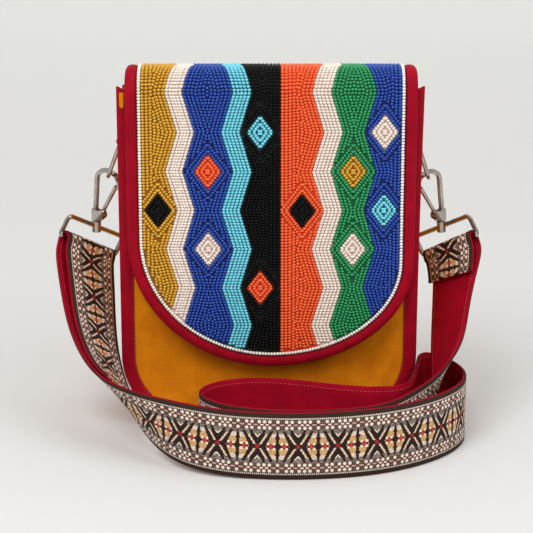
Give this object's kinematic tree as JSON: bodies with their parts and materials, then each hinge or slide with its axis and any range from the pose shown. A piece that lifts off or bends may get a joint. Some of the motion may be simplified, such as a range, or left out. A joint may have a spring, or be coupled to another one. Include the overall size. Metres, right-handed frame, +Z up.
{
  "type": "crossbody bag",
  "caption": "Beaded flap crossbody bag in mustard canvas with crimson binding, metal trigger snaps and a wide woven strap laid in a loop on the floor",
  "frame": {"origin": "middle of the flat underside of the bag's body, on the floor", "axes": "+X to the bag's right seen from the front, +Y to its back, +Z up. The flap and the strap's floor loop are on the -Y side"},
  "size_m": [0.2556, 0.1486, 0.2191],
  "materials": {
    "canvas": "mustard woven canvas",
    "crimson": "crimson cloth, matt",
    "beads": "opaque glass seed beads in several colours",
    "nickel": "polished nickel",
    "tape": "jacquard-woven tape in brown, cream and red"
  },
  "bodies": {
    "bag": {"front_panel": "canvas", "back_panel": "canvas", "gusset": "canvas", "front_binding": "crimson", "back_binding": "crimson", "flap_panel": "crimson", "bead_panel": "beads", "flap_binding": "crimson", "ring_tab_left": "crimson", "ring_tab_right": "crimson", "bag_ring_left": "nickel", "bag_ring_right": "nickel", "snap_body_left": "nickel", "snap_body_right": "nickel", "strap_loop_left": "nickel", "strap_loop_right": "nickel", "strap_backing": "crimson", "strap_tape": "tape"},
    "gate_left": {"snap_gate_left": "nickel"},
    "gate_right": {"snap_gate_right": "nickel"}
  },
  "joints": [
    {"name": "gate_left", "type": "hinge", "parent": "bag", "child": "gate_left", "pos_m": [-0.10088, 0.00223, 0.12396], "axis": [-0.6691, -0.7431, 0], "range_deg": [0, 25], "stiffness_Nm_per_rad": 0.01, "springref_deg": -5.73},
    {"name": "gate_right", "type": "hinge", "parent": "bag", "child": "gate_right", "pos_m": [0.10061, 0.00199, 0.12375], "axis": [-0.6691, 0.7431, 0], "range_deg": [0, 25], "stiffness_Nm_per_rad": 0.01, "springref_deg": -5.73}
  ]
}
